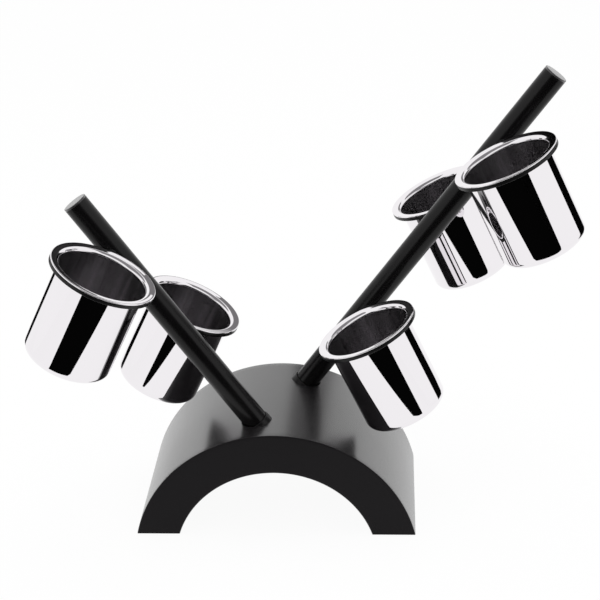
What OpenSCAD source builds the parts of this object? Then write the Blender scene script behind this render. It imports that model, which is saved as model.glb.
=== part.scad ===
// Buffet cutlery dispenser: a solid arch stands on four pads and carries two rods that lean apart.
// Five cups hang by their flanges in rings that are screwed to the rods.
// Frame: origin on the surface it stands on, under the middle of the whole object. +X right, +Y back, +Z up.

/* [Arch] */
// Radius of the outer curve
arch_r = 165; // [150:1:185]
// Thickness of the arch, measured along its radius
arch_wall = 48; // [44:1:54]
// Distance from the cut of the feet down to the centre of the curves
arch_drop = 36.5; // [20:0.5:50]
// Depth of the arch from front to back
arch_depth = 186; // [170:1:220]
// Small chamfer along the curved edges
arch_edge = 1.2; // [0.5:0.1:3]

/* [Foot pads] */
// Diameter of a pad
pad_d = 26; // [18:1:34]
// Thickness of a pad
pad_h = 3; // [2:0.5:5]
// How far a pad stands out of its pocket
pad_proud = 1; // [0.5:0.1:2]
// Distance of the pads from the middle, front to back
pad_y = 66; // [50:1:75]

/* [Rods] */
// Outside diameter of both rods
rod_d = 28; // [26:1:32]
// Wall of the rod's tube
rod_wall = 2; // [1.5:0.1:3]
// Distance of each rod's plane from the middle of the arch
rod_plane = 53; // [40:1:58]
// Where the left rod's axis meets the arch, left of the middle
left_rod_x = -21; // [-35:1:-10]
// Where the right rod's axis meets the arch, right of the middle
right_rod_x = 32; // [15:1:40]
// Lean of the left rod from the vertical
left_rod_lean = -35; // [-38:1:-25]
// Lean of the right rod from the vertical
right_rod_lean = 37; // [28:1:40]
// Length of the left rod outside the arch
left_rod_reach = 327; // [315:1:380]
// Length of the right rod outside the arch
right_rod_reach = 472; // [460:1:540]
// Depth of the rods' seat inside the arch
rod_seat = 32; // [26:1:34]

/* [Rings] */
// Height of the first ring along the left rod
left_low = 134; // [130:1:145]
// Height of the second ring along the left rod
left_high = 259; // [245:1:265]
// Height of the first ring along the right rod
right_low = 124; // [120:1:140]
// Height of the second ring along the right rod
right_middle = 263; // [250:1:270]
// Height of the third ring along the right rod
right_high = 376; // [372:1:395]
// Lean of the cups on the left rod
left_cup_lean = 26; // [20:0.5:30]
// Lean of the cups on the right rod
right_cup_lean = -24.5; // [-30:0.5:-20]
// Thickness of a ring
ring_h = 4; // [3:0.5:5]
// Hole of a ring
ring_hole_d = 106.6; // [106:0.1:110]

/* [Cups] */
// Outside diameter of the flange
flange_d = 118; // [118:1:122]
// Outside diameter of the cup's body
cup_d = 98; // [92:1:98]
// Height of the cup with its flange
cup_h = 113; // [100:0.5:125]
// Thickness of the sheet
sheet = 0.8; // [0.6:0.1:1]
// Radius of the lip's bend, on the inside of the cup
lip_r = 5; // [5:0.5:8]
// How far the flange falls from its folded edge to the lip
flange_dish = 0.9; // [0:0.1:1.2]
// Outside radius of the cup's bottom corner
corner_r = 9; // [5:0.5:14]

/* [Hidden] */
$fn = 96;
over = 1;                                   // how far a cut runs past the face that it opens

// arch
foot_z = pad_proud;                         // height of the feet's cut
arch_inner_r = arch_r - arch_wall;
centre_z = foot_z - arch_drop;              // height of the centre of the curves
pad_fit = 0.2;                              // gap between a pad and its pocket
foot_middle = (sqrt(arch_r ^ 2 - arch_drop ^ 2) + sqrt(arch_inner_r ^ 2 - arch_drop ^ 2)) / 2;

// sockets and screws in the arch, measured along each rod's axis
socket_wall = 1.4;
socket_floor = 3;
rod_fit = 0.1;                              // gap between the rod and its socket
glue_gap = 0.1;                             // gap between the socket and its bore in the arch
screw_d = 8;
screw_hole_d = 9;
screw_len = 35;
screw_head_d = 13;
screw_head_h = 8;
hex_d = 6.9;                                // across the corners of the hexagon in the screw's head
hex_depth = 4;
washer_d = 16;
washer_hole_d = 8.4;
washer_h = 1.6;
web = 9;                                    // wood left between the socket and the screw's recess
recess_d = 20;
recess_reach = 40;
thread_gap = 0.05;                          // gap that stands for a cut thread, on the radius
plug_len = 25;
plug_gap = 0.05;

// end caps of the rods
cap_h = 2.5;
cap_edge = 0.8;
cap_spigot = 8;

// rings, their stems and the inserts that take them
flange_r = flange_d / 2;
ring_edge = 0.4;
hem_h = 2;                                  // height of the flange's folded edge
ring_middle = hem_h + ring_h / 2;           // from the top of the flange down to the middle of the ring
stem_start = 0.3;                           // gap between the flange and the stem's collar
collar_d = 10;
collar_h = 0.6;
stem_d = 6;
stem_len = 11;
insert_head_d = 11;
insert_head_h = 0.8;
insert_d = 9;
insert_len = 11;
insert_fit = 0.05;
side_offset = flange_r + stem_start + collar_h + insert_head_h + rod_d / 2;

// cup
cup_r = cup_d / 2;
cup_inner_r = cup_r - sheet;
hem_width = 2.4;

// [x where the axis meets the arch, plane, lean, length outside the arch]
rods = [
    [left_rod_x, -rod_plane, left_rod_lean, left_rod_reach],
    [right_rod_x, rod_plane, right_rod_lean, right_rod_reach],
];
// [rod, height along it, -1 in front of it or 1 behind it, lean of the cup]
holders = [
    [0, left_high, -1, left_cup_lean],
    [0, left_low, 1, left_cup_lean],
    [1, right_low, -1, right_cup_lean],
    [1, right_middle, 1, right_cup_lean],
    [1, right_high, -1, right_cup_lean],
];
sides = ["left", "right"];
pads = [["front_left", -1, -1], ["front_right", 1, -1], ["rear_left", -1, 1], ["rear_right", 1, 1]];
rod_pieces = ["rod_socket_", "rod_", "rod_cap_", "rod_plug_", "rod_bolt_", "rod_washer_"];
holder_pieces = ["holder_ring_", "stem_insert_", "cup_"];

// Furthest place on X of a leaning cup, at its bottom corner, measured from the middle of the arch
function cup_reach(holder) =
    rods[holder[0]][0] + holder[1] * sin(rods[holder[0]][2])
    - (cup_h - corner_r - ring_middle) * sin(holder[3])
    - sign(holder[3]) * ((cup_r - corner_r) * cos(holder[3]) + corner_r);

// Place of the arch's middle on X, so that the origin is midway between the outermost cups
arch_x = -(cup_reach(holders[0]) + cup_reach(holders[4])) / 2;

// Height of the arch's outer surface at a distance on X from its middle
function surface_z(x) = centre_z + sqrt(arch_r ^ 2 - x ^ 2);

// Where a rod's axis leaves the arch
function rod_foot(rod) = [arch_x + rod[0], rod[1], surface_z(rod[0])];

// Moves to a rod's own frame: origin where the axis leaves the arch, +Z along the rod
module at_rod(rod) {
    translate(rod_foot(rod)) rotate([0, rod[2], 0]) children();
}

// Moves to the middle of a ring, with +Z along the axis of its cup
module at_ring(holder) {
    rod = rods[holder[0]];
    along = [sin(rod[2]), 0, cos(rod[2])] * holder[1];
    translate(rod_foot(rod) + along + [0, holder[2] * side_offset, 0])
        rotate([0, holder[3], 0]) children();
}

// A round bar that starts at a distance from the ring's axis and runs towards the rod
module towards_rod(holder, start, len, d) {
    rotate([90 * holder[2], 0, 0]) translate([0, 0, start]) cylinder(d = d, h = len);
}

// ---- arch ----

module arch_section() {
    polygon([
        [arch_inner_r, -arch_depth / 2 + arch_edge],
        [arch_inner_r + arch_edge, -arch_depth / 2],
        [arch_r - arch_edge, -arch_depth / 2],
        [arch_r, -arch_depth / 2 + arch_edge],
        [arch_r, arch_depth / 2 - arch_edge],
        [arch_r - arch_edge, arch_depth / 2],
        [arch_inner_r + arch_edge, arch_depth / 2],
        [arch_inner_r, arch_depth / 2 - arch_edge],
    ]);
}

// Bore for the socket, hole for the screw and recess for its head
module rod_bores(rod) {
    at_rod(rod) {
        translate([0, 0, -rod_seat - socket_floor])
            cylinder(d = rod_d + 2 * (rod_fit + socket_wall + glue_gap), h = 2 * rod_seat);
        translate([0, 0, -rod_seat - socket_floor - web - over])
            cylinder(d = screw_hole_d, h = web + 2 * over);
        translate([0, 0, -rod_seat - socket_floor - web - recess_reach])
            cylinder(d = recess_d, h = recess_reach);
    }
}

module at_pad(pad) {
    translate([arch_x + pad[1] * foot_middle, pad[2] * pad_y, 0]) children();
}

module base_arch() {
    color([0.10, 0.10, 0.10]) difference() {
        intersection() {
            translate([arch_x, 0, centre_z]) rotate([90, 0, 0]) rotate_extrude() arch_section();
            translate([arch_x - arch_r - over, -arch_depth / 2 - over, foot_z])
                cube([2 * (arch_r + over), arch_depth + 2 * over, arch_r]);
        }
        for (rod = rods) rod_bores(rod);
        for (pad = pads) at_pad(pad)
            translate([0, 0, foot_z - over]) cylinder(d = pad_d + 2 * pad_fit, h = pad_h - pad_proud + over);
    }
}

module foot_pad(pad) {
    color([0.16, 0.16, 0.17]) at_pad(pad) cylinder(d = pad_d, h = pad_h);
}

// ---- rods and what holds them in the arch ----

// Thin sleeve with a floor, whose lip shows round the foot of the rod
module rod_socket(rod) {
    inner_d = rod_d + 2 * rod_fit;
    color([0.08, 0.08, 0.08]) at_rod(rod) difference() {
        translate([0, 0, -rod_seat - socket_floor])
            cylinder(d = inner_d + 2 * socket_wall, h = rod_seat + socket_floor);
        translate([0, 0, -rod_seat]) cylinder(d = inner_d, h = rod_seat + over);
        translate([0, 0, -rod_seat - socket_floor - over])
            cylinder(d = screw_hole_d, h = socket_floor + 2 * over);
    }
}

// Tube with a hole in its wall for each ring's insert
module rod_tube(which) {
    rod = rods[which];
    color([0.07, 0.07, 0.07]) at_rod(rod) difference() {
        translate([0, 0, -rod_seat]) cylinder(d = rod_d, h = rod_seat + rod[3] - cap_h);
        translate([0, 0, -rod_seat - over])
            cylinder(d = rod_d - 2 * rod_wall, h = rod_seat + rod[3] + 2 * over);
        for (holder = holders) if (holder[0] == which)
            translate([0, 0, holder[1]]) rotate([-90 * holder[2], 0, 0])
                cylinder(d = insert_d + 2 * insert_fit, h = rod_d);
    }
}

// Pressed cap: a chamfered disc on a spigot
module rod_cap(rod) {
    color([0.20, 0.20, 0.20]) at_rod(rod) translate([0, 0, rod[3] - cap_h]) {
        cylinder(d = rod_d, h = cap_h - cap_edge);
        translate([0, 0, cap_h - cap_edge]) cylinder(d1 = rod_d, d2 = rod_d - 2 * cap_edge, h = cap_edge);
        translate([0, 0, -cap_spigot]) cylinder(d = rod_d - 2 * (rod_wall + plug_gap), h = cap_spigot + cap_edge);
    }
}

// Threaded plug in the foot of the tube
module rod_plug(rod) {
    color("silver") at_rod(rod) translate([0, 0, -rod_seat]) difference() {
        cylinder(d = rod_d - 2 * (rod_wall + plug_gap), h = plug_len);
        translate([0, 0, -over]) cylinder(d = screw_d + 2 * thread_gap, h = plug_len + 2 * over);
    }
}

module rod_washer(rod) {
    color("gainsboro") at_rod(rod) translate([0, 0, -rod_seat - socket_floor - web - washer_h]) difference() {
        cylinder(d = washer_d, h = washer_h);
        translate([0, 0, -over]) cylinder(d = washer_hole_d, h = washer_h + 2 * over);
    }
}

// Cap screw with a hexagon socket, its head towards the inside of the arch
module rod_bolt(rod) {
    color("dimgray") at_rod(rod) translate([0, 0, -rod_seat - socket_floor - web - washer_h]) {
        cylinder(d = screw_d, h = screw_len);
        difference() {
            translate([0, 0, -screw_head_h]) cylinder(d = screw_head_d, h = screw_head_h);
            translate([0, 0, -screw_head_h - over]) cylinder(d = hex_d, h = hex_depth + over, $fn = 6);
        }
    }
}

// ---- rings, inserts and cups ----

// Flat ring with the welded stem that screws into the rod
module holder_ring(holder) {
    web_in = 2;                             // how far the weld reaches into the ring
    web_reach = web_in + stem_start + collar_h / 2;
    color([0.06, 0.06, 0.06]) at_ring(holder) {
        rotate_extrude() polygon([
            [ring_hole_d / 2, -ring_h / 2],
            [flange_r - ring_edge, -ring_h / 2],
            [flange_r, -ring_h / 2 + ring_edge],
            [flange_r, ring_h / 2 - ring_edge],
            [flange_r - ring_edge, ring_h / 2],
            [ring_hole_d / 2, ring_h / 2],
        ]);
        translate([0, -holder[2] * (flange_r - web_in + web_reach / 2), 0])
            cube([collar_d, web_reach, ring_h], center = true);
        towards_rod(holder, flange_r + stem_start, collar_h, collar_d);
        towards_rod(holder, flange_r + stem_start, collar_h + stem_len, stem_d);
    }
}

// Threaded insert: a thin head on the rod's outside, a barrel through its wall
module stem_insert(holder) {
    head_at = flange_r + stem_start + collar_h;
    color("dimgray") at_ring(holder) difference() {
        union() {
            towards_rod(holder, head_at, insert_head_h, insert_head_d);
            towards_rod(holder, head_at, insert_head_h + insert_len, insert_d);
        }
        towards_rod(holder, head_at - over, insert_head_h + insert_len + 2 * over, stem_d + 2 * thread_gap);
    }
}

// Space inside a round cup with a rounded bottom corner, drawn as half of its section
module round_bottom(r, corner, bottom, top) {
    translate([0, bottom]) square([r - corner, top - bottom]);
    translate([0, bottom + corner]) square([r, top - bottom - corner]);
    translate([r - corner, bottom + corner]) circle(corner);
}

// Half of the cup's section: body, bent lip, flange and folded edge, less the inside
module cup_section() {
    lip_x = cup_inner_r + lip_r;            // where the bend of the lip ends
    lip_z = -flange_dish - lip_r;           // height of the bend's centre
    hem_x = flange_r - hem_h / 2;           // where the fold of the edge begins
    difference() {
        union() {
            round_bottom(cup_r, corner_r, -cup_h, -sheet / 2);
            difference() {
                translate([cup_inner_r - over, lip_z]) square([lip_r + over, lip_r]);
                translate([lip_x, lip_z]) circle(lip_r - sheet);
            }
            polygon([
                [lip_x - sheet, -flange_dish - sheet],
                [lip_x, -flange_dish - sheet],
                [hem_x, -sheet],
                [hem_x, 0],
                [lip_x, -flange_dish],
                [lip_x - sheet, -flange_dish],
            ]);
            translate([flange_r - hem_width, -hem_h]) square([hem_width - hem_h / 2, hem_h - sheet / 2]);
            translate([hem_x, -hem_h / 2]) circle(hem_h / 2);
        }
        round_bottom(cup_inner_r, corner_r - sheet, -cup_h + sheet, over);
        difference() {
            translate([cup_inner_r - over, lip_z]) square([lip_r + over, lip_r + over]);
            translate([lip_x, lip_z]) circle(lip_r);
        }
    }
}

module cup(holder) {
    color([0.85, 0.85, 0.86]) at_ring(holder) translate([0, 0, ring_middle])
        rotate_extrude($fn = 128) cup_section();
}

// ---- the assembly ----

base_arch();
for (pad = pads) foot_pad(pad);
for (i = [0:1]) {
    rod_socket(rods[i]);
    rod_tube(i);
    rod_cap(rods[i]);
    rod_plug(rods[i]);
    rod_bolt(rods[i]);
    rod_washer(rods[i]);
}
for (i = [0:4]) {
    holder_ring(holders[i]);
    stem_insert(holders[i]);
    cup(holders[i]);
}
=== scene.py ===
# Buffet cutlery dispenser: an arched stand, two leaning rods, and five cups that hang in rings.
# All sizes are in metres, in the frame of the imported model: +X right, +Y back, +Z up.
import math

import bpy
import numpy as np
from mathutils import Matrix, Vector


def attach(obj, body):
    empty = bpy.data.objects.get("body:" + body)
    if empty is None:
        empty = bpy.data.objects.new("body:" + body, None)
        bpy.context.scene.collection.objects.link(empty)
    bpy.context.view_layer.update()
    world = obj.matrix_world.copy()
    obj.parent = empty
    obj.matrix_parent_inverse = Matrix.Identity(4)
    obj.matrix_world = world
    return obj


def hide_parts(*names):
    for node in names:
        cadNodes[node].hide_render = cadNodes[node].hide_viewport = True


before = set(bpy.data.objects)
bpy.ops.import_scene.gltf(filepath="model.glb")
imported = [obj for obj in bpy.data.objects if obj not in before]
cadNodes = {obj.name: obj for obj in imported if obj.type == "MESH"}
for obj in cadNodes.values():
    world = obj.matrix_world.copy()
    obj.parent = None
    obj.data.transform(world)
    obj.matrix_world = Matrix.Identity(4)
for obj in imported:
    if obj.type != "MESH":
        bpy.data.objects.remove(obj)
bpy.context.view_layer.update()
print("frame loaded:", len(cadNodes), "nodes")


def signedVolume(points, faces):
    # sum of the tetrahedra between the origin and each face's fan, positive when faces point outwards
    total = 0.0
    for face in faces:
        if len(face) == 0:
            continue
        quads = np.asarray(face)
        a = points[quads[:, 0]]
        for k in range(1, quads.shape[1] - 1):
            total += np.einsum("ij,ij->i", a, np.cross(points[quads[:, k]], points[quads[:, k + 1]])).sum()
    return total


def meshPiece(name, points, quads, triangles=(), sharpAngle=40):
    # one closed mesh out of arrays; it is turned inside out if its volume comes out negative
    points = np.asarray(points, float)
    groups = [np.asarray(quads, int).reshape(-1, 4), np.asarray(triangles, int).reshape(-1, 3)]
    if signedVolume(points, groups) < 0:
        groups = [g[:, ::-1] for g in groups]
    mesh = bpy.data.meshes.new(name)
    mesh.vertices.add(len(points))
    mesh.vertices.foreach_set("co", points.astype(np.float32).ravel())
    corners = np.concatenate([g.ravel() for g in groups])
    sizes = np.concatenate([np.full(len(g), g.shape[1]) for g in groups])
    starts = np.concatenate([[0], np.cumsum(sizes)[:-1]])
    mesh.loops.add(len(corners))
    mesh.loops.foreach_set("vertex_index", corners.astype(np.int32))
    mesh.polygons.add(len(sizes))
    mesh.polygons.foreach_set("loop_start", starts.astype(np.int32))
    mesh.polygons.foreach_set("loop_total", sizes.astype(np.int32))
    mesh.update(calc_edges=True)
    mesh.validate()
    mesh.polygons.foreach_set("use_smooth", np.ones(len(mesh.polygons), bool))
    mesh.set_sharp_from_angle(angle=math.radians(sharpAngle))
    piece = bpy.data.objects.new(name, mesh)
    bpy.context.scene.collection.objects.link(piece)
    return piece


def revolved(profile, count):
    # point = (r cos a, r sin a, z) for each profile point (r, z); a point with r = 0 is one vertex
    profile = np.asarray(profile, float)
    angle = np.arange(count) * 2 * np.pi / count
    rings = []
    points = []
    total = 0
    for r, z in profile:
        if r < 1e-9:
            points.append(np.array([[0.0, 0.0, z]]))
            rings.append(np.full(count, total))
            total += 1
        else:
            points.append(np.stack([r * np.cos(angle), r * np.sin(angle), np.full(count, z)], 1))
            rings.append(np.arange(count) + total)
            total += count
    return np.concatenate(points), np.array(rings)


def ringFaces(rings, closed=False):
    # quads between each ring and the next; where a ring is one vertex they are triangles
    quads, triangles = [], []
    last = len(rings) if closed else len(rings) - 1
    for k in range(last):
        a, b = rings[k], rings[(k + 1) % len(rings)]
        an, bn = np.roll(a, -1), np.roll(b, -1)
        if a[0] == a[1]:
            triangles.append(np.stack([a, b, bn], 1))
        elif b[0] == b[1]:
            triangles.append(np.stack([a, b, an], 1))
        else:
            quads.append(np.stack([a, b, bn, an], 1))
    quads = np.concatenate(quads) if quads else np.zeros((0, 4), int)
    triangles = np.concatenate(triangles) if triangles else np.zeros((0, 3), int)
    return quads, triangles


def arc(cx, cz, radius, start, end, steps):
    # points of a circle's arc in the profile's plane, angles in degrees
    a = np.radians(np.linspace(start, end, steps + 1))
    return np.stack([cx + radius * np.cos(a), cz + radius * np.sin(a)], 1)


def run(a, b, steps):
    # evenly spaced points from a to b, both included
    t = np.linspace(0, 1, steps + 1)[:, None]
    return np.asarray(a, float) * (1 - t) + np.asarray(b, float) * t


def path(*parts):
    # joins runs and arcs, and drops points that repeat the one before
    points = np.concatenate([np.atleast_2d(p) for p in parts])
    keep = np.concatenate([[True], np.linalg.norm(np.diff(points, axis=0), axis=1) > 1e-7])
    return points[keep]


def placed(points, place):
    # rotates and moves points by a 4x4 matrix
    m = np.array(place)
    return points @ m[:3, :3].T + m[:3, 3]


def turnedPiece(name, profile, place, count=128, closed=True):
    # a profile (r, z) turned round the axis of a place; a closed one is the outline of a wall
    points, rings = revolved(profile, count)
    return meshPiece(name, placed(points, place), *ringFaces(rings, closed))


# sizes and places, repeated from the part's source
arch = dict(outer=0.165, wall=0.048, drop=0.0365, depth=0.186, edge=0.0012, footZ=0.001)
arch["centreZ"] = arch["footZ"] - arch["drop"]
rod = dict(diameter=0.028, wall=0.002, plane=0.053, seat=0.032, footEdge=0.0004, capHeight=0.0025)
rods = {
    "left": dict(x=-0.021, y=-rod["plane"], lean=-35.0, reach=0.327),
    "right": dict(x=0.032, y=rod["plane"], lean=37.0, reach=0.472),
}
ring = dict(height=0.004, hole=0.1066, outer=0.059, edge=0.0005, sideOffset=0.0747, toFlangeTop=0.004)
cup = dict(flange=0.059, radius=0.049, height=0.113, sheet=0.0008, lip=0.005, dish=0.0009,
           corner=0.009, hem=0.002, hemWidth=0.0024, hemEdge=0.0003)
holders = [
    dict(rod="left", height=0.259, side=-1, lean=26.0),
    dict(rod="left", height=0.134, side=1, lean=26.0),
    dict(rod="right", height=0.124, side=-1, lean=-24.5),
    dict(rod="right", height=0.263, side=1, lean=-24.5),
    dict(rod="right", height=0.376, side=-1, lean=-24.5),
]


def cupReach(index):
    # furthest place on X of a leaning cup, at its bottom corner, measured from the middle of the arch
    holder = holders[index]
    r, lean = rods[holder["rod"]], math.radians(holder["lean"])
    return (r["x"] + holder["height"] * math.sin(math.radians(r["lean"]))
            - (cup["height"] - cup["corner"] - ring["toFlangeTop"]) * math.sin(lean)
            - math.copysign((cup["radius"] - cup["corner"]) * math.cos(lean) + cup["corner"], lean))


arch["x"] = -(cupReach(0) + cupReach(4)) / 2


def rodPlace(side):
    # the rod's own frame: origin where its axis leaves the arch, +Z along the rod
    r = rods[side]
    z = arch["centreZ"] + math.sqrt(arch["outer"] ** 2 - r["x"] ** 2)
    foot = Matrix.Translation((arch["x"] + r["x"], r["y"], z))
    return foot @ Matrix.Rotation(math.radians(r["lean"]), 4, "Y")


def ringPlace(index):
    # the middle of a ring, +Z along the axis of its cup
    h = holders[index]
    centre = rodPlace(h["rod"]) @ Vector((0, 0, h["height"]))
    centre.y += h["side"] * ring["sideOffset"]
    return Matrix.Translation(centre) @ Matrix.Rotation(math.radians(h["lean"]), 4, "Y")


def newMaterial(name):
    # an empty node material with its Principled shader wired to the output
    material = bpy.data.materials.new(name)
    material.use_nodes = True
    tree = material.node_tree
    tree.nodes.clear()
    out = tree.nodes.new("ShaderNodeOutputMaterial")
    shader = tree.nodes.new("ShaderNodeBsdfPrincipled")
    tree.links.new(shader.outputs["BSDF"], out.inputs["Surface"])
    return material, tree, shader


def node(tree, kind, **values):
    # a node with its plain properties and socket values set by name
    made = tree.nodes.new(kind)
    for key, value in values.items():
        if key in made.inputs:
            made.inputs[key].default_value = value
        else:
            setattr(made, key, value)
    return made


def groupTree(name, inputs, outputs):
    # a shader node group with float inputs and given outputs
    tree = bpy.data.node_groups.new(name, "ShaderNodeTree")
    for label, default in inputs:
        socket = tree.interface.new_socket(label, in_out="INPUT", socket_type="NodeSocketFloat")
        socket.default_value = default
    for label, kind in outputs:
        tree.interface.new_socket(label, in_out="OUTPUT", socket_type=kind)
    return tree, tree.nodes.new("NodeGroupInput"), tree.nodes.new("NodeGroupOutput")


def mapped(tree, source, start, end=(0.0, 1.0), **settings):
    # carries a value from one range to another, held at both ends
    made = node(tree, "ShaderNodeMapRange", **settings)
    made.inputs["From Min"].default_value, made.inputs["From Max"].default_value = start
    made.inputs["To Min"].default_value, made.inputs["To Max"].default_value = end
    tree.links.new(source, made.inputs["Value"])
    return made.outputs["Result"]


def computed(tree, operation, first, second=None):
    # arithmetic with a linked value and, where it needs one, a second that is linked or plain
    made = node(tree, "ShaderNodeMath", operation=operation)
    tree.links.new(first, made.inputs[0])
    if isinstance(second, float):
        made.inputs[1].default_value = second
    elif second is not None:
        tree.links.new(second, made.inputs[1])
    return made.outputs[0]


def mixed(tree, kind, factor, a, b):
    # a where the factor is 0 and b where it is 1, each of them linked or a plain colour
    made = node(tree, "ShaderNodeMix", data_type=kind)
    tree.links.new(factor, made.inputs["Factor"])
    for label, side in (("A", a), ("B", b)):
        if isinstance(side, tuple):
            made.inputs[label].default_value = (*side, 1)
        else:
            tree.links.new(side, made.inputs[label])
    return made.outputs["Result"]


def stretchedNoise(tree, vector, scale, detail):
    # noise drawn out by its own scale along each axis
    stretch = node(tree, "ShaderNodeMapping", Scale=scale)
    noise = node(tree, "ShaderNodeTexNoise", Scale=1.0, Detail=detail, Roughness=0.6)
    tree.links.new(vector, stretch.inputs["Vector"])
    tree.links.new(stretch.outputs["Vector"], noise.inputs["Vector"])
    return noise.outputs["Fac"]


def addBump(tree, shader, height, look):
    bump = node(tree, "ShaderNodeBump", Strength=look["bump"], Distance=look["bumpDepth"])
    tree.links.new(height, bump.inputs["Height"])
    tree.links.new(bump.outputs["Normal"], shader.inputs["Normal"])


def makeFinishGrain():
    # fine grain and slow mottling of a sprayed finish, as masks from 0 to 1 round 0.5
    tree, gin, gout = groupTree("finishGrain", [("Grain Scale", 900.0), ("Mottle Scale", 14.0)],
                                [("Grain", "NodeSocketFloat"), ("Mottle", "NodeSocketFloat")])
    where = tree.nodes.new("ShaderNodeTexCoord")
    for mask, scale, detail, roughness in (("Grain", "Grain Scale", 3.0, 0.55),
                                           ("Mottle", "Mottle Scale", 4.0, 0.5)):
        noise = node(tree, "ShaderNodeTexNoise", Detail=detail, Roughness=roughness)
        tree.links.new(where.outputs["Object"], noise.inputs["Vector"])
        tree.links.new(gin.outputs[scale], noise.inputs["Scale"])
        tree.links.new(noise.outputs["Fac"], gout.inputs[mask])
    return tree


def makeEdgeWear():
    # a mask that is 1 on sharp outer edges: pointiness + 0.12 (noise - 0.5), between two limits
    tree, gin, gout = groupTree("edgeWear", [("Scale", 60.0), ("Low", 0.55), ("High", 0.7)],
                                [("Mask", "NodeSocketFloat")])
    where = tree.nodes.new("ShaderNodeTexCoord")
    geometry = tree.nodes.new("ShaderNodeNewGeometry")
    noise = node(tree, "ShaderNodeTexNoise", Detail=5.0, Roughness=0.6)
    tree.links.new(where.outputs["Object"], noise.inputs["Vector"])
    tree.links.new(gin.outputs["Scale"], noise.inputs["Scale"])
    breaks = computed(tree, "MULTIPLY", computed(tree, "SUBTRACT", noise.outputs["Fac"], 0.5), 0.12)
    limit = tree.nodes.new("ShaderNodeMapRange")
    tree.links.new(computed(tree, "ADD", geometry.outputs["Pointiness"], breaks), limit.inputs["Value"])
    tree.links.new(gin.outputs["Low"], limit.inputs["From Min"])
    tree.links.new(gin.outputs["High"], limit.inputs["From Max"])
    tree.links.new(limit.outputs["Result"], gout.inputs["Mask"])
    return tree


finishGrain = makeFinishGrain()
edgeWear = makeEdgeWear()
noiseSpan = (0.3, 0.7)  # the range in which nearly all of the noise lies


def grainMasks(tree, look):
    # grain and mottling at the finish's own scales
    grain = node(tree, "ShaderNodeGroup", node_tree=finishGrain)
    grain.inputs["Grain Scale"].default_value = look["grainScale"]
    grain.inputs["Mottle Scale"].default_value = look["mottleScale"]
    return grain.outputs["Grain"], grain.outputs["Mottle"]


def satinFinish(name, look):
    # sprayed or coated surface: base colour, slow mottling, grain bump and lighter worn edges
    material, tree, shader = newMaterial(name)
    grain, mottle = grainMasks(tree, look)
    wear = node(tree, "ShaderNodeGroup", node_tree=edgeWear)
    wear.inputs["Low"].default_value, wear.inputs["High"].default_value = look["wear"]
    tone = mixed(tree, "RGBA", mottle, look["dark"], look["light"])
    worn = mixed(tree, "RGBA", wear.outputs["Mask"], tone, look["wornColour"])
    tree.links.new(worn, shader.inputs["Base Color"])
    tree.links.new(mapped(tree, mottle, noiseSpan, look["roughness"]), shader.inputs["Roughness"])
    addBump(tree, shader, grain, look)
    shader.inputs["Specular IOR Level"].default_value = look["specular"]
    if "coat" in look:
        # the gloss rises from the first weight at a square view to the second at a grazing one
        facing = node(tree, "ShaderNodeLayerWeight", Blend=0.5)
        weight = mapped(tree, facing.outputs["Facing"], look["coatRise"], look["coat"],
                        interpolation_type="SMOOTHSTEP")
        tree.links.new(weight, shader.inputs["Coat Weight"])
        shader.inputs["Coat Roughness"].default_value = look["coatRoughness"]
        shader.inputs["Coat IOR"].default_value = look["coatIor"]
    return material


def polishedSteel(name, look):
    # mirror steel with very fine turned lines round the cup's axis and a few faint smudges;
    # the inside is rougher and painted darker as painted shade, with lighter streaks of painted reflection
    # down its wall
    material, tree, shader = newMaterial(name)
    turned = node(tree, "ShaderNodeUVMap", uv_map="turned")
    lines = stretchedNoise(tree, turned.outputs["UV"], look["lineScale"], 3.0)
    place = tree.nodes.new("ShaderNodeTexCoord")
    smudge = node(tree, "ShaderNodeTexNoise", Scale=look["smudgeScale"], Detail=4.0, Roughness=0.55)
    tree.links.new(place.outputs["Object"], smudge.inputs["Vector"])
    # v of the map is 0 in the middle of the inside and grows along the section, so a low v is inside
    along = tree.nodes.new("ShaderNodeSeparateXYZ")
    tree.links.new(turned.outputs["UV"], along.inputs[0])
    inside = mapped(tree, along.outputs["Y"], look["insideEnd"], (1.0, 0.0))
    # the painted reflection streaks are noise at (cos 2 pi u, sin 2 pi u, v), so that no seam shows
    turn = computed(tree, "MULTIPLY", along.outputs["X"], 2 * math.pi)
    circle = tree.nodes.new("ShaderNodeCombineXYZ")
    tree.links.new(computed(tree, "COSINE", turn), circle.inputs["X"])
    tree.links.new(computed(tree, "SINE", turn), circle.inputs["Y"])
    tree.links.new(along.outputs["Y"], circle.inputs["Z"])
    paintedReflectionStreaks = mapped(tree, stretchedNoise(tree, circle.outputs[0], look["reflectionStreakScale"], 4.0),
                     look["reflectionStreakSpan"])
    roughs = [mapped(tree, smudge.outputs["Fac"], look["smudgeSpan"], look[limits])
              for limits in ("roughness", "insideRoughness")]
    # the inside's tone is painted shade, darker than the outside, with lighter streaks of painted reflection
    tones = [mixed(tree, "RGBA", lines, look["dark"], look["light"]),
             mixed(tree, "RGBA", paintedReflectionStreaks, look["insidePaintedShade"], look["insidePaintedStreakLight"])]
    tree.links.new(mixed(tree, "FLOAT", inside, *roughs), shader.inputs["Roughness"])
    tree.links.new(mixed(tree, "RGBA", inside, *tones), shader.inputs["Base Color"])
    addBump(tree, shader, lines, look)
    shader.inputs["Metallic"].default_value = 1.0
    return material


def machinedSteel(name, look):
    # plated or blackened small parts: metal with mottled colour and fine grain
    material, tree, shader = newMaterial(name)
    grain, mottle = grainMasks(tree, look)
    tree.links.new(mixed(tree, "RGBA", mottle, look["dark"], look["light"]), shader.inputs["Base Color"])
    tree.links.new(mapped(tree, grain, noiseSpan, look["roughness"]), shader.inputs["Roughness"])
    addBump(tree, shader, grain, look)
    shader.inputs["Metallic"].default_value = look["metallic"]
    return material


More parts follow.
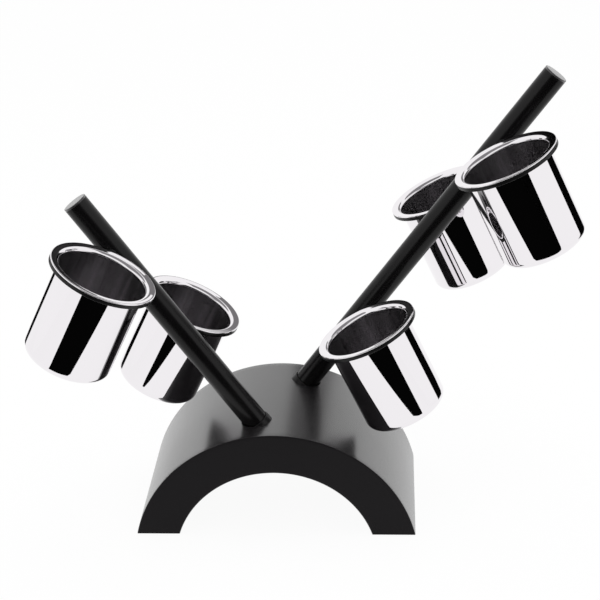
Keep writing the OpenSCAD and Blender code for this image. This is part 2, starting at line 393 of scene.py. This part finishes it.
archLacquer = satinFinish("archLacquer", dict(
    dark=(0.0046, 0.0039, 0.0046), light=(0.0080, 0.0068, 0.0080), wornColour=(0.024, 0.022, 0.024),
    wear=(0.56, 0.72), grainScale=1100.0, mottleScale=11.0, roughness=(0.40, 0.50),
    bump=0.12, bumpDepth=0.00003, specular=0.10,
    coat=(0.01, 1.0), coatRise=(0.15, 0.84), coatRoughness=0.24, coatIor=3.1))
rodCoat = satinFinish("rodCoat", dict(
    dark=(0.0022, 0.0020, 0.0022), light=(0.0050, 0.0046, 0.0048), wornColour=(0.020, 0.019, 0.019),
    wear=(0.58, 0.75), grainScale=1600.0, mottleScale=18.0, roughness=(0.20, 0.28),
    bump=0.10, bumpDepth=0.00002, specular=0.22))
capCoat = satinFinish("capCoat", dict(
    dark=(0.020, 0.019, 0.020), light=(0.036, 0.035, 0.036), wornColour=(0.07, 0.07, 0.07),
    wear=(0.56, 0.70), grainScale=1500.0, mottleScale=30.0, roughness=(0.34, 0.46),
    bump=0.2, bumpDepth=0.00004, specular=0.5,
    coat=(0.1, 1.0), coatRise=(0.2, 0.7), coatRoughness=0.3, coatIor=2.1))
ringCoat = satinFinish("ringCoat", dict(
    dark=(0.0030, 0.0028, 0.0030), light=(0.0070, 0.0066, 0.0070), wornColour=(0.04, 0.04, 0.04),
    wear=(0.57, 0.74), grainScale=1800.0, mottleScale=25.0, roughness=(0.26, 0.36),
    bump=0.15, bumpDepth=0.00003, specular=0.25))
cupSteel = polishedSteel("cupSteel", dict(
    dark=(0.850, 0.828, 0.850), light=(0.885, 0.862, 0.885), roughness=(0.01, 0.03),
    # inside colours: painted shade, and lighter streaks of painted reflection
    insidePaintedShade=(0.36, 0.35, 0.36), insidePaintedStreakLight=(0.74, 0.72, 0.74), insideRoughness=(0.23, 0.27),
    insideEnd=(2.49, 2.57), reflectionStreakScale=(4.0, 4.0, 0.4), reflectionStreakSpan=(0.32, 0.68),
    lineScale=(3.0, 900.0, 1.0), smudgeScale=38.0, smudgeSpan=(0.42, 0.72), bump=0.002, bumpDepth=0.00001))
zincSteel = machinedSteel("zincSteel", dict(
    dark=(0.48, 0.49, 0.51), light=(0.68, 0.69, 0.70), grainScale=2200.0, mottleScale=120.0,
    roughness=(0.25, 0.42), bump=0.25, bumpDepth=0.00003, metallic=1.0))
screwSteel = machinedSteel("screwSteel", dict(
    dark=(0.035, 0.035, 0.038), light=(0.075, 0.075, 0.078), grainScale=2600.0, mottleScale=140.0,
    roughness=(0.35, 0.52), bump=0.25, bumpDepth=0.00003, metallic=0.85))
padRubber = satinFinish("padRubber", dict(
    dark=(0.018, 0.018, 0.018), light=(0.034, 0.034, 0.033), wornColour=(0.06, 0.06, 0.058),
    wear=(0.56, 0.7), grainScale=700.0, mottleScale=60.0, roughness=(0.62, 0.8),
    bump=0.5, bumpDepth=0.00008, specular=0.3))
print("materials ready")


def dress(piece, material, body=None, replaced=()):
    # gives a piece its finish and the body it moves with, and hides the solids it stands for
    piece.data.materials.clear()
    piece.data.materials.append(material)
    if body:
        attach(piece, body)
    if replaced:
        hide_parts(*replaced)
    return piece


def archMesh():
    # section: a rounded rectangle of (radius, depth); each of its points runs along its own
    # half circle, from foot to foot, so that the feet end flat at the same height
    a = arch
    inner, outer, half, e = a["outer"] - a["wall"], a["outer"], a["depth"] / 2, a["edge"]
    section = path(
        run((outer, -half + e), (outer, half - e), 24),
        arc(outer - e, half - e, e, 0, 90, 6),
        run((outer - e, half), (inner + e, half), 12),
        arc(inner + e, half - e, e, 90, 180, 6),
        run((inner, half - e), (inner, -half + e), 24),
        arc(inner + e, -half + e, e, 180, 270, 6),
        run((inner + e, -half), (outer - e, -half), 12),
        arc(outer - e, -half + e, e, 270, 360, 6),
    )[:-1]
    steps = 224
    radius, y = section[:, 0], section[:, 1]
    low = np.arcsin(a["drop"] / radius)
    t = np.linspace(0, 1, steps + 1)[:, None]
    angle = low[None, :] + t * (np.pi - 2 * low[None, :])
    grid = np.stack([a["x"] + radius * np.cos(angle), np.broadcast_to(y, angle.shape),
                     a["centreZ"] + radius * np.sin(angle)], -1)
    grid[0, :, 2] = a["footZ"]
    grid[-1, :, 2] = a["footZ"]
    count = len(section)
    index = np.arange((steps + 1) * count).reshape(steps + 1, count)
    nxt = np.roll(index, -1, axis=1)
    quads = np.stack([index[:-1], index[1:], nxt[1:], nxt[:-1]], -1).reshape(-1, 4)
    # each foot is closed by a fan round one point in its middle
    points = grid.reshape(-1, 3)
    fans = []
    for row in (0, steps):
        middle = points[index[row]].mean(0)
        points = np.vstack([points, middle])
        fan = np.stack([index[row], nxt[row], np.full(count, len(points) - 1)], 1)
        fans.append(fan if row == 0 else fan[:, ::-1])
    return points, quads, np.concatenate(fans)


def cutter(name, radius, low, high, place, count=96):
    # a closed cylinder along +Z of a place, used to cut a bore
    profile = [(0, low), (radius, low), (radius, high), (0, high)]
    return turnedPiece(name, profile, place, count, closed=False)


def cutBores(piece, cutters):
    # exact boolean differences, applied one after the other, then the cutters are removed
    for c in cutters:
        modifier = piece.modifiers.new("bore", "BOOLEAN")
        modifier.operation = "DIFFERENCE"
        modifier.solver = "EXACT"
        modifier.object = c
        depsgraph = bpy.context.evaluated_depsgraph_get()
        mesh = bpy.data.meshes.new_from_object(piece.evaluated_get(depsgraph))
        piece.modifiers.clear()
        old = piece.data
        piece.data = mesh
        bpy.data.meshes.remove(old)
        bpy.data.objects.remove(c)
    piece.data.polygons.foreach_set("use_smooth", np.ones(len(piece.data.polygons), bool))
    piece.data.set_sharp_from_angle(angle=math.radians(30))
    piece.data.name = piece.name


archCuts = dict(boreRadius=0.0156, boreFloor=-0.035, boreTop=0.03, screwHole=0.0045, web=0.009,
                recess=0.010, recessReach=0.040, padRadius=0.0132, padDepth=0.002, padY=0.066, over=0.002)


def archCutters():
    # for each rod a bore for its socket, a hole for its screw and a recess for the screw's head,
    # and a pocket for each pad
    c = archCuts
    made = []
    for side in rods:
        place = rodPlace(side)
        top = c["boreFloor"] - c["web"]
        made.append(cutter("cutBore", c["boreRadius"], c["boreFloor"], c["boreTop"], place))
        made.append(cutter("cutHole", c["screwHole"], top - c["over"], c["boreFloor"] + c["over"], place, 48))
        made.append(cutter("cutRecess", c["recess"], top - c["recessReach"], top, place))
    footMiddle = sum(math.sqrt(r ** 2 - arch["drop"] ** 2)
                     for r in (arch["outer"], arch["outer"] - arch["wall"])) / 2
    for x in (-footMiddle, footMiddle):
        for y in (-c["padY"], c["padY"]):
            place = Matrix.Translation((arch["x"] + x, y, arch["footZ"]))
            made.append(cutter("cutPad", c["padRadius"], -arch["footZ"], c["padDepth"], place, 64))
    return made


points, quads, triangles = archMesh()
archBody = meshPiece("arch_body", points, quads, triangles, sharpAngle=30)
cutBores(archBody, archCutters())
dress(archBody, archLacquer, "stand", ["base_arch"])
print("arch made:", len(archBody.data.polygons), "faces")

cap = dict(edge=0.0009, dome=0.00025, domeShare=0.94, spigot=0.008, spigotGap=0.00005, spigotEdge=0.0004)
socket = dict(inner=0.0141, outer=0.0155, floor=-0.035, hole=0.0045, edge=0.0003, wallStart=-0.03)


def tubeProfile(reach):
    # the rod as a tube, from its seat in the arch to the cap
    radius, e = rod["diameter"] / 2, rod["footEdge"]
    inner, bottom, top = radius - rod["wall"], -rod["seat"], reach - rod["capHeight"]
    return path(run((inner, top), (inner, bottom), 20), (radius - e, bottom),
                run((radius, bottom + e), (radius, top), 60))


def capProfile(reach):
    # a disc with a rounded edge and a very slightly domed face z = reach - dome t^2, on its spigot
    radius, top, e = rod["diameter"] / 2, reach - rod["capHeight"], cap["edge"]
    spigot, low = radius - rod["wall"] - cap["spigotGap"], top - cap["spigot"]
    t = np.linspace(0, 1, 9)
    face = np.stack([radius * cap["domeShare"] * t, reach - cap["dome"] * t ** 2], 1)
    return path(face, arc(radius - e, reach - cap["dome"] - e, e, 90, 0, 8),
                (radius, top), (spigot, top), (spigot, low + cap["spigotEdge"]),
                (spigot - cap["spigotEdge"], low), (0, low))


def socketProfile():
    # a thin sleeve with a floor round the foot of the rod, its rim rounded
    inner, outer, floor, hole, e = (socket[k] for k in ("inner", "outer", "floor", "hole", "edge"))
    rim = (outer - inner) / 2
    return path((hole, floor), (outer - e, floor), (outer, floor + e),
                run((outer, socket["wallStart"]), (outer, -rim), 20),
                arc(outer - rim, -rim, rim, 0, 180, 10),
                run((inner, -rim), (inner, -rod["seat"]), 20), (hole, -rod["seat"]))


for side in rods:
    place, reach = rodPlace(side), rods[side]["reach"]
    tube = turnedPiece("rod_tube_" + side, tubeProfile(reach), place)
    end = turnedPiece("rod_end_" + side, capProfile(reach), place, closed=False)
    sleeve = turnedPiece("socket_lip_" + side, socketProfile(), place)
    dress(tube, rodCoat, "stand", ["rod_" + side])
    dress(end, capCoat, "stand", ["rod_cap_" + side])
    dress(sleeve, ringCoat, "stand", ["rod_socket_" + side])
print("rods made")

stem = dict(start=0.0593, collar=0.005, collarHeight=0.0006, radius=0.003, length=0.011,
            edge=0.0002, tip=0.0005, barStart=0.002, weldIn=0.002, weldWidth=0.010, weldEdge=0.0003)


def joined(parts):
    # several (points, quads, triangles) sets as one, each turned so that it faces outwards
    points, quads, triangles, offset = [], [], [], 0
    for p, q, t in parts:
        if signedVolume(p, [q, t]) < 0:
            q, t = q[:, ::-1], t[:, ::-1]
        points.append(p)
        quads.append(q + offset)
        triangles.append(t + offset)
        offset += len(p)
    return np.concatenate(points), np.concatenate(quads), np.concatenate(triangles)


def ringBand():
    # the flat ring, its edges rounded
    half, hole, outer, e = ring["height"] / 2, ring["hole"] / 2, ring["outer"], ring["edge"]
    profile = path(arc(hole + e, half - e, e, 180, 90, 4),
                   run((hole + e, half), (outer - e, half), 3),
                   arc(outer - e, half - e, e, 90, 0, 5),
                   arc(outer - e, -half + e, e, 0, -90, 5),
                   run((outer - e, -half), (hole + e, -half), 3),
                   arc(hole + e, -half + e, e, 270, 180, 4))
    points, rings = revolved(profile, 256)
    return (points, *ringFaces(rings, closed=True))


def stemBar(side):
    # the collar, and the bar that screws into the insert of the rod
    start, collar, radius = stem["start"], stem["collar"], stem["radius"]
    barFoot = start + stem["collarHeight"]
    tip = barFoot + stem["length"]
    profile = path((0, start), (collar - stem["edge"], start), (collar, start + stem["edge"]),
                   (collar, barFoot), (radius, barFoot),
                   run((radius, start + stem["barStart"]), (radius, start + stem["length"]), 6),
                   (radius - stem["tip"], tip), (0, tip))
    points, rings = revolved(profile, 64)
    return (placed(points, Matrix.Rotation(math.radians(90 * side), 4, "X")), *ringFaces(rings))


def weldBlock(side):
    # a box with chamfered edges that reaches into both the ring and the collar: four levels of eight
    # points, the lowest and the highest drawn in, and a fan over each of these two
    reach = stem["weldIn"] + stem["start"] - ring["outer"] + stem["collarHeight"] / 2
    middle = (0, -side * (ring["outer"] - stem["weldIn"] + reach / 2), 0)
    sx, sy, sz = stem["weldWidth"] / 2, reach / 2, ring["height"] / 2
    e = stem["weldEdge"]
    levels = []
    for z, inset, cut in ((-sz, e, e * 0.6), (-sz + e, 0, e), (sz - e, 0, e), (sz, e, e * 0.6)):
        x, y = sx - inset, sy - inset
        levels.append([(x, y - cut, z), (x - cut, y, z), (-x + cut, y, z), (-x, y - cut, z),
                       (-x, -y + cut, z), (-x + cut, -y, z), (x - cut, -y, z), (x, -y + cut, z)])
    points = np.array(levels).reshape(-1, 3) + np.array(middle)
    quads, triangles = ringFaces(np.arange(32).reshape(4, 8))
    fan = np.array([[0, i, i + 1] for i in range(1, 7)])
    return points, quads, np.concatenate([triangles, fan, fan[:, ::-1] + 24])


for i, h in enumerate(holders):
    points, quads, triangles = joined([ringBand(), stemBar(h["side"]), weldBlock(h["side"])])
    holder = meshPiece(f"ring_band_{i + 1}", placed(points, ringPlace(i)), quads, triangles, sharpAngle=35)
    dress(holder, ringCoat, "stand", [f"holder_ring_{i + 1}"])
print("rings made")


def cupProfile():
    # from the middle of the inside bottom up the inner wall, over the lip and the flange, which rises
    # to its folded edge, and down the outer wall to the middle of the underside
    radius, sheet, lip, dish, corner, hem = (
        cup[k] for k in ("radius", "sheet", "lip", "dish", "corner", "hem"))
    low = -cup["height"]
    inner, insideCorner = radius - sheet, corner - sheet
    lipX, lipZ = inner + lip, -dish - lip
    foldR, foldX = hem / 2, cup["flange"] - hem / 2
    hemX, hemEdge = cup["flange"] - cup["hemWidth"], cup["hemEdge"]
    rise = dish / (foldX - lipX)
    return path(
        run((0, low + sheet), (inner - insideCorner, low + sheet), 10),
        arc(inner - insideCorner, low + sheet + insideCorner, insideCorner, -90, 0, 14),
        run((inner, low + corner), (inner, lipZ), 30),
        arc(lipX, lipZ, lip, 180, 90 + math.degrees(math.atan(rise)), 18),
        run((lipX, -dish), (foldX, 0), 4),
        arc(foldX, -foldR, foldR, 90, -90, 14),
        run((foldX, -hem), (hemX + hemEdge, -hem), 2),
        arc(hemX + hemEdge, -hem + hemEdge, hemEdge, 270, 180, 3),
        run((hemX, -sheet - rise * (foldX - hemX)), (lipX, -dish - sheet), 3),
        arc(lipX, lipZ, lip - sheet, 90, 180, 14),
        run((radius, lipZ), (radius, low + corner), 30),
        arc(radius - corner, low + corner, corner, 0, -90, 16),
        run((radius - corner, low), (0, low), 10),
    )


def turnedMap(piece, profile, rings, lengthScale=0.06):
    # UV map: u round the axis from 0 to 1, v along the profile in units of lengthScale
    along = np.concatenate([[0], np.cumsum(np.linalg.norm(np.diff(profile, axis=0), axis=1))])
    count = rings.shape[1]
    vertexV = np.zeros(len(piece.data.vertices))
    vertexU = np.zeros(len(piece.data.vertices))
    for k, row in enumerate(rings):
        vertexV[row] = along[k] / lengthScale
        vertexU[row] = np.arange(count) / count
    corner = np.zeros(len(piece.data.loops), int)
    piece.data.loops.foreach_get("vertex_index", corner)
    uv = np.stack([vertexU[corner], vertexV[corner]], 1)
    # a face across the seam would run backwards from 1 to 0: its zero corners become 1
    sizes = np.zeros(len(piece.data.polygons), int)
    piece.data.polygons.foreach_get("loop_total", sizes)
    face = np.repeat(np.arange(len(sizes)), sizes)
    highest = np.zeros(len(sizes))
    np.maximum.at(highest, face, uv[:, 0])
    seam = (highest[face] > 0.75) & (uv[:, 0] < 0.25)
    uv[seam, 0] += 1
    layer = piece.data.uv_layers.new(name="turned")
    layer.data.foreach_set("uv", uv.astype(np.float32).ravel())


profile = cupProfile()
cupPoints, cupRings = revolved(profile, 224)
cupQuads, cupTriangles = ringFaces(cupRings)
for i in range(len(holders)):
    place = ringPlace(i) @ Matrix.Translation((0, 0, ring["toFlangeTop"]))
    shell = meshPiece(f"cup_shell_{i + 1}", placed(cupPoints, place), cupQuads, cupTriangles)
    turnedMap(shell, profile, cupRings)
    dress(shell, cupSteel, f"cup_{i + 1}_body", [f"cup_{i + 1}"])
print("cups made:", len(cupQuads), "faces each")

# solids that stay as they are and only get a better finish
finishes = {"foot_pad_": padRubber, "rod_plug_": zincSteel, "rod_bolt_": screwSteel,
            "rod_washer_": zincSteel, "stem_insert_": screwSteel}
for name, solid in cadNodes.items():
    for start, material in finishes.items():
        if name.startswith(start):
            solid.data.materials.clear()
            solid.data.materials.append(material)
print("small parts dressed")

studio = dict(
    floorSize=6.0, floorTone=0.95, floorRoughness=0.8, floorGlow=0.94, worldLight=0.85,
    cloth=0.0015, ceiling=(0.24, 0.235, 0.24), backdrop=(0.20, 0.196, 0.20), backdropRise=(0.25, 1.0))
cards = dict(
    # outline on the floor in front of the stand: narrow near it, with rounded corners, and wider away
    apron=[(-1.37, -2.05), (2.30, -2.05), (0.83, -0.62), (0.76, -0.56), (0.66, -0.52), (0.50, -0.50),
           (-0.42, -0.50), (-0.54, -0.52), (-0.62, -0.56), (-0.67, -0.62)],
    apronHeight=0.002,
    top=[(-0.9, -0.9), (1.1, -0.9), (1.1, 1.0), (-0.9, 1.0)],
    topHeight=1.75,
    # upright cards: start and end on the floor, lower and upper edge
    front=((-1.37, -2.05), (2.30, -2.05), 0.0, 1.2),
    left=((-0.976, 0.515), (-0.700, 0.690), 0.0, 0.30),
    right=((0.879, 0.746), (1.187, 0.289), 0.0, 0.50),
    back=((0.09, 2.6), (0.85, 2.6), 0.2, 2.4))
lamp = dict(place=(0.2, 0.1, 2.2), target=(0, 0, 0.2), size=1.6, power=14)


def plane(name, corners):
    # one flat face from its corners, given round the middle of the arch
    mesh = bpy.data.meshes.new(name)
    mesh.from_pydata([(x + arch["x"], y, z) for x, y, z in corners], [], [range(len(corners))])
    made = bpy.data.objects.new(name, mesh)
    bpy.context.scene.collection.objects.link(made)
    return made


def cameraOrGloss(tree):
    # 1 for rays of the camera and of gloss, 0 for light that scatters
    rays = tree.nodes.new("ShaderNodeLightPath")
    return computed(tree, "MAXIMUM", rays.outputs["Is Camera Ray"], rays.outputs["Is Glossy Ray"])


def mixShaders(tree, factor, first, second, surface):
    # the first shader where the factor is 0 and the second where it is 1
    mix = tree.nodes.new("ShaderNodeMixShader")
    for source, target in ((factor, mix.inputs[0]), (first, mix.inputs[1]), (second, mix.inputs[2]),
                           (mix.outputs[0], surface)):
        tree.links.new(source, target)


def floorMaterial():
    # pale floor: plain white to the camera and in metal, grey-white for light that bounces off it,
    # and darker only where the stand shades it
    material, tree, shader = newMaterial("paleFloor")
    shader.inputs["Base Color"].default_value = (*[studio["floorTone"]] * 3, 1)
    shader.inputs["Roughness"].default_value = studio["floorRoughness"]
    shader.inputs["Specular IOR Level"].default_value = 0.0
    glow = node(tree, "ShaderNodeEmission", Strength=1.0, Color=(1, 1, 1, 1))
    share = computed(tree, "MULTIPLY", cameraOrGloss(tree), studio["floorGlow"])
    out = next(n for n in tree.nodes if n.type == "OUTPUT_MATERIAL")
    mixShaders(tree, share, shader.outputs["BSDF"], glow.outputs["Emission"], out.inputs["Surface"])
    return material


def cardMaterial(name, tone=0.0, glow=None):
    # a card without gloss: matt cloth of a grey tone, or black with a plain glow
    material, tree, shader = newMaterial(name)
    shader.inputs["Base Color"].default_value = (tone, tone, tone, 1)
    shader.inputs["Roughness"].default_value = 1.0
    shader.inputs["Specular IOR Level"].default_value = 0.0
    if glow:
        shader.inputs["Emission Color"].default_value = (*glow, 1)
        shader.inputs["Emission Strength"].default_value = 1.0
    return material


def backdropMaterial():
    # white low down, and falling to dark grey higher up
    material = cardMaterial("backShade", glow=studio["backdrop"])
    tree = material.node_tree
    where = tree.nodes.new("ShaderNodeTexCoord")
    split = tree.nodes.new("ShaderNodeSeparateXYZ")
    tree.links.new(where.outputs["Object"], split.inputs[0])
    rise = mapped(tree, split.outputs["Z"], studio["backdropRise"])
    tone = mixed(tree, "RGBA", rise, (1.0, 1.0, 1.0), studio["backdrop"])
    shader = next(n for n in tree.nodes if n.type == "BSDF_PRINCIPLED")
    tree.links.new(tone, shader.inputs["Emission Color"])
    return material


def flag(name, corners, cover):
    # a card that only metal and gloss can see
    card = plane(name, corners)
    card.data.materials.append(cover)
    card.visible_camera = False
    card.visible_diffuse = False
    card.visible_shadow = False
    card.visible_transmission = False


def flat(outline, height):
    return [(x, y, height) for x, y in outline]


def upright(start, end, low, high):
    # corners of a card that stands over a line on the floor
    return [(*start, low), (*end, low), (*end, high), (*start, high)]


half = studio["floorSize"]
floor = plane("floor", flat([(-half, -half), (half, -half), (half, half), (-half, half)], 0))
floor.data.materials.append(floorMaterial())
flagCloth = cardMaterial("flagCloth", tone=studio["cloth"])
flag("flag_apron", flat(cards["apron"], cards["apronHeight"]), flagCloth)
flag("flag_top", flat(cards["top"], cards["topHeight"]), cardMaterial("dimCeiling", glow=studio["ceiling"]))
for side in ("front", "left", "right"):
    flag("flag_" + side, upright(*cards[side]), flagCloth)
flag("flag_back", upright(*cards["back"]), backdropMaterial())


def makeWorld():
    # plain white to the camera and in gloss, and a little weaker as light
    world = bpy.data.worlds.new("studio")
    bpy.context.scene.world = world
    world.use_nodes = True
    tree = world.node_tree
    tree.nodes.clear()
    out = tree.nodes.new("ShaderNodeOutputWorld")
    light = node(tree, "ShaderNodeBackground", Strength=studio["worldLight"], Color=(1, 1, 1, 1))
    white = node(tree, "ShaderNodeBackground", Strength=1.0, Color=(1, 1, 1, 1))
    mixShaders(tree, cameraOrGloss(tree), light.outputs[0], white.outputs[0], out.inputs[0])


def softLamp(name, place, target, size, power):
    # a large square area lamp turned towards a point
    data = bpy.data.lights.new(name, "AREA")
    data.shape = "SQUARE"
    data.size, data.energy = size, power
    made = bpy.data.objects.new(name, data)
    bpy.context.scene.collection.objects.link(made)
    made.location = place
    made.rotation_euler = (Vector(target) - Vector(place)).to_track_quat("-Z", "Y").to_euler()


makeWorld()
softLamp("lampTop", **lamp)

# camera: direction of its view and roll in degrees, focal length in pixels of the square image
view = dict(place=(0.1360 + arch["x"], -1.6430, 0.9841), azimuth=-3.691, elevation=23.882,
            roll=-1.685, focal=1577.9, imageSize=600, sensor=36.0)


def makeCamera():
    # forward, right and up of the view; roll turns right and up round forward
    psi, e, rho = (math.radians(view[k]) for k in ("azimuth", "elevation", "roll"))
    forward = Vector((math.sin(psi) * math.cos(e), math.cos(psi) * math.cos(e), -math.sin(e)))
    right = Vector((math.cos(psi), -math.sin(psi), 0))
    up = right.cross(forward)
    right2 = math.cos(rho) * right + math.sin(rho) * up
    up2 = -math.sin(rho) * right + math.cos(rho) * up
    turn = Matrix((right2, up2, -forward)).transposed().to_4x4()
    data = bpy.data.cameras.new("camera")
    data.sensor_width = view["sensor"]
    data.lens = view["focal"] / view["imageSize"] * data.sensor_width
    camera = bpy.data.objects.new("camera", data)
    bpy.context.scene.collection.objects.link(camera)
    camera.matrix_world = Matrix.Translation(view["place"]) @ turn
    bpy.context.scene.camera = camera


makeCamera()
bpy.context.scene.view_settings.view_transform = "Standard"
print("stage ready")
